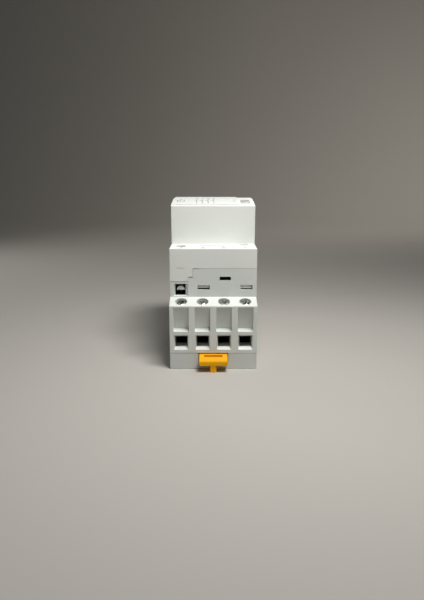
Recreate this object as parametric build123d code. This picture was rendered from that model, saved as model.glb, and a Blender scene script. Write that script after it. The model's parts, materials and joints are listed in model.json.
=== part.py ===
"""Modular four-pole contactor, two modules wide, for a 35 mm DIN rail.

Frame: X across the width, Y along the length with the line terminals at -Y, Z out of the rail.
Origin: centre of the plane that rests on the rail's front face. All sizes in millimetres.
"""

import os
from math import cos, radians, sin, sqrt, tan

from build123d import *

# ---- Envelope, from the standard modular device profile ----
MODULE = 18.0
HALF_WIDTH = MODULE
HALF_LENGTH = 42.5
HALF_UPPER = 36.0
HALF_NOSE = 22.5
BACK_Z = -5.5
END_TOP_Z = 21.4
SHOULDER_Z = 44.0
NOSE_EDGE_Z = 60.4
NOSE_CROWN_RISE = 2.0

# ---- Walls and parting lines ----
SIDE_WALL = 1.7
END_WALL = 1.7
ROOF = 1.8
BASE_TOP_Z = 1.3
HOUSING_BOTTOM_Z = 1.5
COVER_GAP = 0.3
COVER_SEAM = 0.08
PART_HIGH_Z = 35.8
PART_MID_Z = 32.3
PART_LOW_Z = 30.3
PART_STEP_OUTER_X = -10.5
PART_STEP_INNER_X = -8.5
PART_NOTCH_X = -5.7
EDGE_RADIUS = 0.25
NOSE_EDGE_RADIUS = 0.35

# ---- Rail recess ----
RAIL_HALF = 17.7
SEAT_HALF = 15.5
SEAT_RELIEF = 0.5
RAIL_GRIP_Z = -1.2
HOOK_REACH_Y = 16.0
HOOK_HEEL_Y = 18.5
HOOK_CHAMFER = 2.0
FOOT_POCKET_DEPTH = 3.6
FOOT_POCKET_HALF_Y = 8.0
LOAD_POCKET_X, LOAD_POCKET_HALF_X = 9.0, 6.5
LINE_POCKET_X, LINE_POCKET_HALF_X = 12.4, 3.8
FOOT_POCKET_Y = 30.5
LOCATOR_Y = -23.0
LOCATOR_HALF_Y = 2.0
LOCATOR_HEIGHT = 3.0
LOCATOR_ROOM = 0.15
PRY_NOTCH_WIDTH = 0.5
PRY_NOTCH_DEPTH = 1.2
PRY_NOTCH_HEIGHT = 1.0

# ---- DIN clip ----
CLIP_TRAVEL = 3.5
CLIP_BODY_HALF = 5.0
CLIP_EAR_HALF = 6.6
CLIP_TAB_HALF = 5.9
CLIP_TAB_OUT = 4.5
CLIP_TAB_INNER_Y = -40.5
CLIP_TAB_Z = (-2.5, 1.0)
CLIP_TAB_BEVEL_Y = 2.4
CLIP_TAB_BEVEL_Z = -0.7
CLIP_TAB_ROUND = 0.9
CLIP_CORNER = 0.4
CLIP_BODY_Y = (-41.4, -20.0)
CLIP_BOTTOM_Z = -2.0
CLIP_TOP_Z = 0.6
CLIP_NOSE_Y = -15.8
CLIP_NOSE_BACK_Y = -21.5
CLIP_NOSE_TIP_Z = -2.1
CLIP_NOSE_BOTTOM_Z = -4.4
CLIP_STEP_Y = (-19.0, -18.1)
CLIP_EAR_Y = -25.0
CLIP_EAR_HALF_Y = 1.0
CLIP_SLOT_HALF_X = 3.8
CLIP_SLOT_OFFSET = (1.9, 3.3)
CLIP_SLOT_BOTTOM_Z = -1.6
CLIP_LEG_HALF_X = 1.3
CLIP_LEG_OFFSET = (0.2, 2.0)
CLIP_WINDOW_HALF_X = 2.6
CLIP_WINDOW_HALF_Y = 4.0
CLIP_WINDOW_Y = -33.5
CLIP_ROOM = 0.3
CLIP_SIDE_ROOM = 0.35

# ---- Poles and terminals ----
POLE_PITCH = 8.8
POLE_X = [-1.5 * POLE_PITCH, -0.5 * POLE_PITCH, 0.5 * POLE_PITCH, 1.5 * POLE_PITCH]
TILT = 20.0
SCREW_Y = -HALF_LENGTH + 3.3
SCREW_Z = END_TOP_Z + 3.3 * tan(radians(TILT))
LEDGE_TOP_Z = END_TOP_Z + (HALF_LENGTH - HALF_UPPER) * tan(radians(TILT))
WELL_RADIUS = 2.45
HEAD_RADIUS = 1.95
HEAD_HEIGHT = 2.4
SCREW_TURNS = (25.0, 70.0, 115.0, 160.0)
HEAD_DEPTH = 0.4
HEAD_ROUND = 0.7
HEAD_RECESS_DEPTH = 1.4
HEAD_RECESS_HALF = 0.48
HEAD_RECESS_BEVEL = 0.14
SHANK_RADIUS = 1.75
THREAD_CLEARANCE = 0.04
CHANNEL_HALF = 3.6
CHANNEL_HALF_Y = 31.0
CHANNEL_TOP_Z = 13.0
RECESS_HALF_X = 3.15
RECESS_FLOOR_Z = 10.6
RECESS_TOP_Z = END_TOP_Z - 0.5
RECESS_TOP_DEPTH = 0.4
RECESS_SLOPE = 13.5
RECESS_SILL_RISE = 0.75
ENTRY_MOUTH_HALF_X = 2.95
ENTRY_MOUTH_Z = (2.9, 9.3)
ENTRY_HALF_X = 2.5
ENTRY_Z = (4.0, 8.5)
ENTRY_FUNNEL_DEPTH = 1.3
ENTRY_WALL = 1.7
ENTRY_ROOM_HALF_X = 2.9
ENTRY_ROOM_Z = (3.9, 9.0)
ENTRY_INNER_Y = -34.0
TEST_SLOT_X = (2.7, 7.3)
TEST_SLOT_Z = (30.7, 32.35)
CLAMP_HALF_X = 3.0
CLAMP_HALF_Y = 3.0
CLAMP_TOP = -12.4
CLAMP_WINDOW_TOP = -14.2
CLAMP_WINDOW_BOTTOM = -20.3
CLAMP_BOTTOM = -21.2
CLAMP_WINDOW_HALF = 2.35
CLAMP_ROOM = 0.3
CLAMP_POCKET_DEPTH = 30.0
BAR_ON_AXIS = -14.9
BAR_START = -2.8
BAR_THICKNESS = 1.0
BAR_HALF_X = 2.2

# ---- Contacts and carrier ----
TIP_Y = 9.5
TIP_RADIUS = 1.5
TIP_HEIGHT = 0.8
TRAVEL = 2.5
CONTACT_GAP = TRAVEL + 0.05
BAR_END_Y = -7.5
BRIDGE_HALF_X = 1.9
BRIDGE_HALF_Y = 11.3
BRIDGE_THICKNESS = 1.0
STEM_HALF_X = 3.0
STEM_HALF_Y = 4.5
STEM_WINDOW_HALF = 2.0
STEM_BOTTOM_Z = 2.0
STEM_BAR = 1.2
BRIDGE_TOP_Z = CHANNEL_TOP_Z - BAR_THICKNESS - 2 * TIP_HEIGHT - CONTACT_GAP
BRIDGE_BOTTOM_Z = BRIDGE_TOP_Z - BRIDGE_THICKNESS
CONTACT_SPRING_RADIUS = 1.35
CONTACT_SPRING_WIRE = 0.22
CONTACT_SPRING_TURNS = 3
DECK_TOP_Z = 15.0
PLATE_BOTTOM_Z = 15.3
PLATE_TOP_Z = 18.3
PLATE_HALF_X = 15.9
PLATE_HALF_Y = 18.0

# ---- Magnet ----
CORE_HALF_X = 6.5
CORE_HALF_Y = 18.5
CORE_LEG_INNER_Y = 14.0
CORE_CENTRE_HALF_Y = 4.5
CORE_FACE_Z = 34.0
CORE_YOKE_Z = 49.5
CORE_TOP_Z = 56.5
PAD_THICKNESS = 1.0
ARMATURE_BOTTOM_Z = PLATE_TOP_Z + PAD_THICKNESS
ARMATURE_YOKE_Z = 26.0
MAGNET_CLEARANCE = 0.2
ARMATURE_TOP_Z = CORE_FACE_Z - TRAVEL - MAGNET_CLEARANCE
PIN_Z = 22.4
PIN_RADIUS = 1.25
PIN_CLEARANCE = 0.03
CHEEK_HALF_X = 0.9
CHEEK_HALF_Y = 6.0
CHEEK_X = CORE_HALF_X + 1.0
RING_SECTION = 1.0
RING_HALF_X = CORE_HALF_X - 1.0
RING_HALF_Y = 1.7
RING_DEPTH = 1.6
RIVET_Y = (-15.0, 0.0, 15.0)
RIVET_Z = 53.0
RIVET_RADIUS = 1.22
RIVET_HEAD_RADIUS = 2.0
RIVET_HEAD_HEIGHT = 0.8
BUFFER_THICKNESS = 1.5
BUFFER_HALF_Y = 12.0
RIB_HALF_X = 8.0
RIB_Y = (-10.5, -9.0)
RETURN_SPRING_X = 11.0
RETURN_SPRING_RADIUS = 2.0
RETURN_SPRING_WIRE = 0.28
RETURN_SPRING_TURNS = 7

# ---- Coil ----
BOBBIN_BOTTOM_Z = 34.6
BOBBIN_TOP_Z = 49.2
FLANGE_THICKNESS = 1.2
FLANGE_HALF_X = 12.6
FLANGE_HALF_Y = 13.6
TUBE_WALL = 0.9
TUBE_HALF_X = CORE_HALF_X + 0.2 + TUBE_WALL
TUBE_HALF_Y = CORE_CENTRE_HALF_Y + 0.2 + TUBE_WALL

# ---- Coil terminals ----
COIL_X = -13.5
COIL_SCREW_Y = -28.5
COIL_SHANK_RADIUS = 1.5
COIL_SHELF_Z = 22.5
COIL_SHELF_X = -10.8
COIL_SHELF_END_Y = -25.0
NUT_PLATE_HALF_X = 2.3
NUT_PLATE_HALF_Y = 3.0
NUT_PLATE_TOP_Z = 23.8
LEAD_HALF_X = 1.2
LEAD_THICKNESS = 0.6
LEAD_END_Y = -12.0
SADDLE_Y = (-34.7, -25.6)
SADDLE_BOTTOM_Z = 26.6
SADDLE_RADIUS = 1.68
COIL_HEAD_Z = 37.0
COIL_HEAD_RADIUS = 2.2
COIL_HEAD_HEIGHT = 2.2
COIL_RECESS_HALF = 0.4
COIL_SLOT_DEPTH = 1.0
COIL_CROSS_DEPTH = 1.2
COIL_CROSS_HALF_Y = 1.3
COIL_ACCESS_RADIUS = 2.35
COIL_GUIDE_RADIUS = 3.3
COIL_MOUTH_X = (-16.4, -10.4)
COIL_MOUTH_Z = (24.1, 29.4)
COIL_ENTRY_X = (-15.75, -11.55)
COIL_ENTRY_Z = (24.4, 29.1)
COIL_FUNNEL_DEPTH = 1.2

# ---- Cover latches ----
LATCH_X = (-3.97, 13.8)
LATCH_HOOK_BOTTOM_Z = (27.5, 27.25)
LATCH_HOOK_TOP_Z = 28.7
LATCH_WINDOW_HALF_X = 2.5
LATCH_WINDOW_Z = (26.85, 28.8)
LATCH_HALF_X = 2.4
LATCH_THICKNESS = 1.2
LATCH_ROOM = 0.1
LATCH_ROOT = 0.6
LATCH_HOOK_OUT = (1.1, 1.5, 0.8)
LATCH_HOOK_TIP = 0.9
LATCH_HOOK_SIDE = 0.35
TICK_X = (-15.2, -12.1)
TICK_HEIGHT = 0.3
TICK_DEPTH = 0.2

# ---- Indicator ----
WINDOW_X = (11.9, 16.1)
WINDOW_Y = (-17.0, -9.0)
FRONT_PLATE_X = (-17.3, 10.9)
FRONT_PLATE_RISE = 0.35
FRONT_PLATE_INSET = 0.8
WINDOW_GAP = 0.08
FLAG_X = (13.6, 15.4)
FLAG_HALF_Y = 3.0
FLAG_HEAD_X = (12.3, 15.9)
FLAG_HEAD_HALF_Y = 3.6
FLAG_HEAD_Z = (55.6, 56.6)


# ---- Shape helpers ----
def block(x_span, y_span, z_span):
    """Box between two values on each axis."""
    size = [high - low for low, high in (x_span, y_span, z_span)]
    middle = [(high + low) / 2 for low, high in (x_span, y_span, z_span)]
    return Pos(*middle) * Box(*size)


def centred(half_x, half_y, z_span, x=0.0, y=0.0):
    """Box given by its half width and half length about a vertical line."""
    return block((x - half_x, x + half_x), (y - half_y, y + half_y), z_span)


def prism(outline, x_span):
    """Outline of (Y, Z) points, extruded along X."""
    plane = Plane((x_span[0], 0, 0), x_dir=(0, 1, 0), z_dir=(1, 0, 0))
    face = plane * make_face(Polyline(*outline, close=True))
    return extrude(face, x_span[1] - x_span[0], dir=(1, 0, 0))


def post(radius, z_span, x=0.0, y=0.0):
    """Vertical cylinder."""
    height = z_span[1] - z_span[0]
    return Pos(x, y, (z_span[0] + z_span[1]) / 2) * Cylinder(radius, height)


def funnel(outer, inner, y_span):
    """Tapered hole along Y between two (X span, Z span) rectangles."""
    rings = []
    for (x_span, z_span), y in zip((outer, inner), y_span):
        plane = Plane((sum(x_span) / 2, y, sum(z_span) / 2), x_dir=(1, 0, 0), z_dir=(0, -1, 0))
        rings.append(plane * Rectangle(x_span[1] - x_span[0], z_span[1] - z_span[0]))
    return loft(rings)


def far(shape):
    """The same shape at the load end, +Y."""
    return mirror(shape, about=Plane.XZ)


def both_ends(shape):
    """A shape at the line end together with its mirror image at the load end."""
    return [shape, far(shape)]


def group(shapes):
    """Separate solids held in one node."""
    solids = []
    for shape in shapes:
        solids.extend(shape.solids())
    return Compound(solids)


def strip(points, thickness, x_span):
    """Flat strip of even thickness along a bent path of (Y, Z) points."""
    sides = ([], [])
    for index, point in enumerate(points):
        before = Vector(*points[max(index - 1, 0)])
        here = Vector(*point)
        after = Vector(*points[min(index + 1, len(points) - 1)])
        run_in = (here - before) if index > 0 else (after - here)
        run_out = (after - here) if index < len(points) - 1 else run_in
        normal_in = Vector(-run_in.Y, run_in.X).normalized()
        normal_out = Vector(-run_out.Y, run_out.X).normalized()
        mitre = normal_in + normal_out
        offset = mitre * (thickness / mitre.dot(mitre))
        sides[0].append(((here + offset).X, (here + offset).Y))
        sides[1].append(((here - offset).X, (here - offset).Y))
    return prism(sides[0] + sides[1][::-1], x_span)


def coil_spring(radius, wire, z_span, turns, x=0.0, y=0.0):
    """Open compression spring that just fits its height."""
    height = z_span[1] - z_span[0] - 2 * wire
    path = Helix(height / turns, height, radius)
    start = Plane(path @ 0, z_dir=path % 0)
    spring = sweep(start * Circle(wire), path)
    return Pos(x, y, z_span[0] + wire) * spring


# ---- Outer profile ----
def on_tilt(x):
    """Frame on a pole screw's axis, with Z out of the ledge."""
    return Location((x, SCREW_Y, SCREW_Z), (TILT, 0, 0))


def tilt_point(local_y, local_z):
    """(Y, Z) of a point given along and across a pole screw's axis."""
    angle = radians(TILT)
    y = SCREW_Y + local_y * cos(angle) - local_z * sin(angle)
    z = SCREW_Z + local_y * sin(angle) + local_z * cos(angle)
    return (y, z)


def crown_z(y, lift=0.0):
    """Height of the crowned nose at Y."""
    radius = crown_radius()
    return NOSE_EDGE_Z + NOSE_CROWN_RISE + lift - radius + sqrt(radius**2 - y**2)


def crown_radius():
    """Radius of the arc through the nose's two edges and its crown."""
    return (HALF_NOSE**2 + NOSE_CROWN_RISE**2) / (2 * NOSE_CROWN_RISE)


def crown_prism(half_y, bottom_z, lift, x_span):
    """Block under the nose's crown, raised or lowered by lift."""
    edge = crown_z(half_y, lift)
    arc = ThreePointArc((half_y, edge), (0, crown_z(0, lift)), (-half_y, edge))
    sides = Polyline((-half_y, edge), (-half_y, bottom_z), (half_y, bottom_z), (half_y, edge))
    plane = Plane((x_span[0], 0, 0), x_dir=(0, 1, 0), z_dir=(1, 0, 0))
    face = plane * make_face([arc, sides])
    return extrude(face, x_span[1] - x_span[0], dir=(1, 0, 0))


def soften(shape, radius, flat_levels):
    """Round a shell's outer edges, except those on the given parting levels."""
    rounded = shape.edges().filter_by(lambda edge: all(abs(edge.center().Z - z) > 0.01 for z in flat_levels))
    return fillet(rounded, radius)


def below_parting(bottom_z, gap=0.0, seam=0.0):
    """Everything under the cover's stepped parting line, drawn back by gap and seam."""
    every_y = (-2 * HALF_LENGTH, 2 * HALF_LENGTH)
    left_x = -HALF_WIDTH - 1
    above_z = PART_HIGH_Z + 1
    under = block((left_x, HALF_WIDTH + 1), every_y, (bottom_z, PART_HIGH_Z - seam))
    under -= block((left_x, PART_NOTCH_X), every_y, (PART_HIGH_Z - gap, above_z))
    under -= block((left_x, PART_STEP_INNER_X + seam), every_y, (PART_MID_Z - gap, above_z))
    return under - block((left_x, PART_STEP_OUTER_X + seam), every_y, (PART_LOW_Z - gap, above_z))


# ---- Housing ----
def housing_shell():
    """Terminal block and lower wall, still solid."""
    outline = [
        (-HALF_LENGTH, HOUSING_BOTTOM_Z),
        (HALF_LENGTH, HOUSING_BOTTOM_Z),
        (HALF_LENGTH, END_TOP_Z),
        (HALF_UPPER, LEDGE_TOP_Z),
        (HALF_UPPER, PART_HIGH_Z),
        (-HALF_UPPER, PART_HIGH_Z),
        (-HALF_UPPER, LEDGE_TOP_Z),
        (-HALF_LENGTH, END_TOP_Z),
    ]
    shell = soften(prism(outline, (-HALF_WIDTH, HALF_WIDTH)), EDGE_RADIUS, (HOUSING_BOTTOM_Z, PART_HIGH_Z))
    return shell & below_parting(HOUSING_BOTTOM_Z - 1, COVER_GAP, COVER_SEAM)


def pole_recess(x):
    """Open wedge in the end face above a wire entry, deepest at its sill."""
    sill_z = RECESS_FLOOR_Z + RECESS_SILL_RISE
    top_y = -HALF_LENGTH + RECESS_TOP_DEPTH
    deep_y = top_y + (RECESS_TOP_Z - sill_z) * tan(radians(RECESS_SLOPE))
    outline = [
        (-HALF_LENGTH - 1, RECESS_FLOOR_Z),
        (-HALF_LENGTH, RECESS_FLOOR_Z),
        (deep_y, sill_z),
        (top_y, RECESS_TOP_Z),
        (-HALF_LENGTH - 1, RECESS_TOP_Z),
    ]
    return prism(outline, (x - RECESS_HALF_X, x + RECESS_HALF_X))


def wire_entry(x):
    """Wire funnel, the square hole through the wall and the wider room behind it."""
    outer = ((x - ENTRY_MOUTH_HALF_X, x + ENTRY_MOUTH_HALF_X), ENTRY_MOUTH_Z)
    inner = ((x - ENTRY_HALF_X, x + ENTRY_HALF_X), ENTRY_Z)
    funnel_y = -HALF_LENGTH + ENTRY_FUNNEL_DEPTH
    wall_y = -HALF_LENGTH + ENTRY_WALL
    hole = block(inner[0], (funnel_y, wall_y), inner[1])
    room = block((x - ENTRY_ROOM_HALF_X, x + ENTRY_ROOM_HALF_X), (wall_y, ENTRY_INNER_Y), ENTRY_ROOM_Z)
    return funnel(outer, inner, (-HALF_LENGTH, funnel_y)) + hole + room


def clamp_pocket(x):
    """Tilted pocket for the cage clamp, open at the bottom, and the screw well above it."""
    half_x = CLAMP_HALF_X + CLAMP_ROOM
    y_span = (-CLAMP_HALF_Y - CLAMP_ROOM, 2 * CLAMP_HALF_Y)
    pocket = block((-half_x, half_x), y_span, (-CLAMP_POCKET_DEPTH, CLAMP_TOP + CLAMP_ROOM))
    well = post(WELL_RADIUS, (CLAMP_TOP, WELL_RADIUS + HEAD_DEPTH))
    return on_tilt(x) * pocket + on_tilt(x) * well


def main_housing():
    """Terminal block with its wire entries, wells, recesses, pole channels and magnet bay."""
    body = housing_shell()
    inner_x = HALF_WIDTH - SIDE_WALL
    body -= centred(inner_x, CHANNEL_HALF_Y, (DECK_TOP_Z, SHOULDER_Z))
    body -= centred(inner_x, HALF_UPPER - END_WALL, (COIL_SHELF_Z, SHOULDER_Z))
    cuts = []
    for x in POLE_X:
        cuts.append(centred(CHANNEL_HALF, CHANNEL_HALF_Y, (0, CHANNEL_TOP_Z), x))
        cuts.append(centred(CHANNEL_HALF, STEM_HALF_Y + 0.5, (0, DECK_TOP_Z + 1), x))
        cuts.extend(both_ends(pole_recess(x)))
        cuts.extend(both_ends(wire_entry(x)))
        cuts.extend(both_ends(clamp_pocket(x)))
    body -= cuts
    body += both_ends(coil_shelf())
    body -= both_ends(coil_entry())
    body -= both_ends(wall_window(TEST_SLOT_X, TEST_SLOT_Z))
    for x in LATCH_X:
        body -= both_ends(wall_window((x - LATCH_WINDOW_HALF_X, x + LATCH_WINDOW_HALF_X), LATCH_WINDOW_Z))
    return body


def wall_window(x_span, z_span):
    """Rectangular hole through the upper end wall."""
    return block(x_span, (-HALF_UPPER - 1, -HALF_UPPER + END_WALL + 1), z_span)


def coil_shelf():
    """Shelf under a coil terminal, cut away over the clamp's pocket."""
    inner_x = HALF_WIDTH - SIDE_WALL
    x_span = (-inner_x - 0.5, COIL_SHELF_X)
    shelf = block(x_span, (-HALF_UPPER + 1, COIL_SHELF_END_Y), (DECK_TOP_Z - 1, COIL_SHELF_Z))
    return shelf - clamp_pocket(POLE_X[0])


def coil_entry():
    """Wire entry of the coil terminal."""
    funnel_y = -HALF_UPPER + COIL_FUNNEL_DEPTH
    outer = (COIL_MOUTH_X, COIL_MOUTH_Z)
    inner = (COIL_ENTRY_X, COIL_ENTRY_Z)
    mouth = funnel(outer, inner, (-HALF_UPPER - 0.01, funnel_y))
    return mouth + block(COIL_ENTRY_X, (funnel_y, -HALF_UPPER + END_WALL + 1), COIL_ENTRY_Z)


# ---- Cover ----
def cover_latch(x, hook_bottom_z):
    """Tongue of the cover with a hook that snaps into the housing's window."""
    inside = -HALF_UPPER + END_WALL + LATCH_ROOM
    back = inside + LATCH_THICKNESS
    x_span = (x - LATCH_HALF_X, x + LATCH_HALF_X)
    root_top = PART_HIGH_Z + 2
    top_out, tip_out, bottom_out = LATCH_HOOK_OUT
    tongue = block(x_span, (inside, back), (hook_bottom_z, root_top))
    hook = [
        (inside, LATCH_HOOK_TOP_Z),
        (inside - top_out, LATCH_HOOK_TOP_Z),
        (inside - tip_out, LATCH_HOOK_TOP_Z - LATCH_HOOK_TIP),
        (inside - bottom_out, hook_bottom_z),
        (inside, hook_bottom_z),
    ]
    root = block(x_span, (inside - LATCH_ROOT, back), (PART_HIGH_Z + LATCH_ROOT, root_top))
    return tongue + prism(hook, (x - LATCH_HALF_X, x + LATCH_HALF_X - LATCH_HOOK_SIDE)) + root


def top_cover():
    """Shoulders and nose in one moulding, with latches, coil screw guides and a tick at each end."""
    outline = [
        (-HALF_UPPER, PART_LOW_Z),
        (HALF_UPPER, PART_LOW_Z),
        (HALF_UPPER, SHOULDER_Z),
        (-HALF_UPPER, SHOULDER_Z),
    ]
    skirt = soften(prism(outline, (-HALF_WIDTH, HALF_WIDTH)), EDGE_RADIUS, (PART_LOW_Z,))
    nose = crown_prism(HALF_NOSE, SHOULDER_Z - 1, 0, (-HALF_WIDTH, HALF_WIDTH))
    nose = soften(nose, NOSE_EDGE_RADIUS, (SHOULDER_Z - 1,))
    body = (skirt + nose) - below_parting(PART_LOW_Z - 5)
    inner_x = HALF_WIDTH - SIDE_WALL
    body -= centred(inner_x, HALF_UPPER - END_WALL, (PART_LOW_Z - 1, SHOULDER_Z - ROOF))
    body -= crown_prism(HALF_NOSE - END_WALL, PART_LOW_Z, -ROOF, (-inner_x, inner_x))
    guide = post(COIL_GUIDE_RADIUS, (COIL_HEAD_Z - 0.6, SHOULDER_Z - 1), COIL_X, COIL_SCREW_Y)
    body += both_ends(guide & centred(inner_x + 0.5, HALF_UPPER, (0, SHOULDER_Z)))
    body -= both_ends(post(COIL_ACCESS_RADIUS, (0, SHOULDER_Z + 1), COIL_X, COIL_SCREW_Y))
    for x, hook_bottom_z in zip(LATCH_X, LATCH_HOOK_BOTTOM_Z):
        body += both_ends(cover_latch(x, hook_bottom_z))
    tick_z = (PART_HIGH_Z, PART_HIGH_Z + TICK_HEIGHT)
    body -= both_ends(block(TICK_X, (-HALF_UPPER - 1, -HALF_UPPER + TICK_DEPTH), tick_z))
    rib_z = (CORE_TOP_Z + BUFFER_THICKNESS, crown_z(RIB_Y[0], -ROOF / 2))
    rib = block((-RIB_HALF_X, RIB_HALF_X), RIB_Y, rib_z)
    body += both_ends(rib)
    return body - window_shaft(0)


def window_shaft(gap):
    """Upright block that fills the window's hole, less a gap all round."""
    x_span = (WINDOW_X[0] + gap, WINDOW_X[1] - gap)
    y_span = (WINDOW_Y[0] + gap, WINDOW_Y[1] - gap)
    return block(x_span, y_span, (SHOULDER_Z, NOSE_EDGE_Z + 2 * NOSE_CROWN_RISE))


def front_plate():
    """Thin raised plate that follows the crown, beside the window."""
    outside = crown_prism(HALF_NOSE - FRONT_PLATE_INSET, SHOULDER_Z, FRONT_PLATE_RISE, FRONT_PLATE_X)
    return outside - crown_prism(HALF_NOSE, SHOULDER_Z - 1, 0, (-HALF_WIDTH, HALF_WIDTH))


def indicator_window():
    """Clear lens flush with the crown."""
    roof = crown_prism(HALF_NOSE, SHOULDER_Z, 0, WINDOW_X)
    roof -= crown_prism(HALF_NOSE, SHOULDER_Z - 1, -ROOF, (-HALF_WIDTH, HALF_WIDTH))
    return roof & window_shaft(WINDOW_GAP)


# ---- Base and clip ----
def base_plate():
    """Foot that closes the housing and seats on the rail, with the clip's guide in it."""
    body = soften(centred(HALF_WIDTH, HALF_LENGTH, (BACK_Z, BASE_TOP_Z)), EDGE_RADIUS, (BASE_TOP_Z,))
    wide = (-HALF_WIDTH - 1, HALF_WIDTH + 1)
    below_z = BACK_Z - 1
    body -= block(wide, (-RAIL_HALF, RAIL_HALF), (RAIL_GRIP_Z, 0))
    body -= block(wide, (-RAIL_HALF, HOOK_REACH_Y), (below_z, 0))
    body -= both_ends(block(wide, (-RAIL_HALF, -SEAT_HALF), (RAIL_GRIP_Z, SEAT_RELIEF)))
    chamfer_y = HOOK_REACH_Y - 1
    body -= prism([(chamfer_y, below_z), (chamfer_y, BACK_Z + HOOK_CHAMFER), (HOOK_HEEL_Y, below_z)], wide)
    pocket_z = (below_z, BACK_Z + FOOT_POCKET_DEPTH)
    for side in (-1, 1):
        load_pocket_x = side * LOAD_POCKET_X
        line_pocket_x = side * LINE_POCKET_X
        body -= centred(LOAD_POCKET_HALF_X, FOOT_POCKET_HALF_Y, pocket_z, load_pocket_x, FOOT_POCKET_Y)
        body -= centred(LINE_POCKET_HALF_X, FOOT_POCKET_HALF_Y, pocket_z, line_pocket_x, -FOOT_POCKET_Y)
    body -= clip_guide()
    body -= both_ends(pry_notch())
    locator_z = (BASE_TOP_Z - 0.5, BASE_TOP_Z + LOCATOR_HEIGHT)
    for x in (POLE_X[0], POLE_X[3]):
        body += both_ends(centred(CHANNEL_HALF - LOCATOR_ROOM, LOCATOR_HALF_Y, locator_z, x, LOCATOR_Y))
    return body


def pry_notch():
    """Notch at the base's top corner, where a blade lifts the housing off."""
    x_span = (HALF_WIDTH - PRY_NOTCH_WIDTH, HALF_WIDTH + 1)
    y_span = (-HALF_LENGTH - 1, -HALF_LENGTH + PRY_NOTCH_DEPTH)
    return block(x_span, y_span, (BASE_TOP_Z - PRY_NOTCH_HEIGHT, BASE_TOP_Z + 1))


def clip_guide():
    """Space in the base for the clip: mouth, slide, ear pocket and nose opening."""
    top = BASE_TOP_Z + 1
    floor_z = CLIP_BOTTOM_Z - CLIP_ROOM
    mouth_x = CLIP_TAB_HALF + CLIP_ROOM
    slide_x = CLIP_BODY_HALF + CLIP_SIDE_ROOM
    ear_x = CLIP_EAR_HALF + CLIP_SIDE_ROOM
    ear_front = CLIP_EAR_Y - CLIP_EAR_HALF_Y - CLIP_TRAVEL - CLIP_ROOM
    ear_back = CLIP_EAR_Y + CLIP_EAR_HALF_Y + CLIP_ROOM
    inner_y = -RAIL_HALF + 1
    mouth = block((-mouth_x, mouth_x), (-HALF_LENGTH - 1, -40.0), (CLIP_BOTTOM_Z - 0.8, top))
    slide = block((-slide_x, slide_x), (CLIP_BODY_Y[0], inner_y), (floor_z, top))
    ears = block((-ear_x, ear_x), (ear_front, ear_back), (floor_z, top))
    opening = block((-slide_x, slide_x), (CLIP_EAR_Y - 0.4, inner_y), (BACK_Z - 1, top))
    return mouth + slide + ears + opening


def din_clip():
    """Slide with a screwdriver tab outside and a nose that grips the rail's edge."""
    tab_y = -HALF_LENGTH - CLIP_TAB_OUT
    body = block((-CLIP_BODY_HALF, CLIP_BODY_HALF), CLIP_BODY_Y, (CLIP_BOTTOM_Z, CLIP_TOP_Z))
    body += centred(CLIP_EAR_HALF, CLIP_EAR_HALF_Y, (CLIP_BOTTOM_Z, CLIP_TOP_Z), 0, CLIP_EAR_Y)
    nose = [
        (CLIP_NOSE_BACK_Y, CLIP_TOP_Z),
        (CLIP_STEP_Y[0], CLIP_TOP_Z),
        (CLIP_STEP_Y[1], RAIL_GRIP_Z),
        (CLIP_NOSE_Y, RAIL_GRIP_Z),
        (CLIP_NOSE_Y, CLIP_NOSE_TIP_Z),
        (CLIP_STEP_Y[1], CLIP_NOSE_BOTTOM_Z),
        (CLIP_NOSE_BACK_Y, CLIP_NOSE_BOTTOM_Z),
    ]
    body += prism(nose, (-CLIP_BODY_HALF, CLIP_BODY_HALF))
    tab_bottom, tab_top = CLIP_TAB_Z
    tab_outline = [
        (tab_y, tab_bottom),
        (CLIP_TAB_INNER_Y, tab_bottom),
        (CLIP_TAB_INNER_Y, tab_top),
        (tab_y + CLIP_TAB_BEVEL_Y, tab_top),
        (tab_y, CLIP_TAB_BEVEL_Z),
    ]
    tab = prism(tab_outline, (-CLIP_TAB_HALF, CLIP_TAB_HALF))
    crests = tab.edges().filter_by(Axis.X).filter_by_position(Axis.Y, tab_y, tab_y + CLIP_TAB_BEVEL_Y)
    tab = fillet(crests.filter_by_position(Axis.Z, CLIP_TAB_BEVEL_Z, tab_top), CLIP_TAB_ROUND)
    tab = fillet(tab.edges().filter_by(Axis.Z), CLIP_CORNER)
    slot_y = (tab_y + CLIP_SLOT_OFFSET[0], tab_y + CLIP_SLOT_OFFSET[1])
    tab -= block((-CLIP_SLOT_HALF_X, CLIP_SLOT_HALF_X), slot_y, (CLIP_SLOT_BOTTOM_Z, tab_top + 1))
    leg_y = (tab_y + CLIP_LEG_OFFSET[0], tab_y + CLIP_LEG_OFFSET[1])
    leg = block((-CLIP_LEG_HALF_X, CLIP_LEG_HALF_X), leg_y, (BACK_Z, CLIP_BOTTOM_Z))
    leg = fillet(leg.edges().filter_by(Axis.Z), EDGE_RADIUS)
    window_z = (CLIP_BOTTOM_Z - 1, CLIP_TOP_Z + 1)
    window = centred(CLIP_WINDOW_HALF_X, CLIP_WINDOW_HALF_Y, window_z, 0, CLIP_WINDOW_Y)
    return (body + tab + leg) - window


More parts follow.
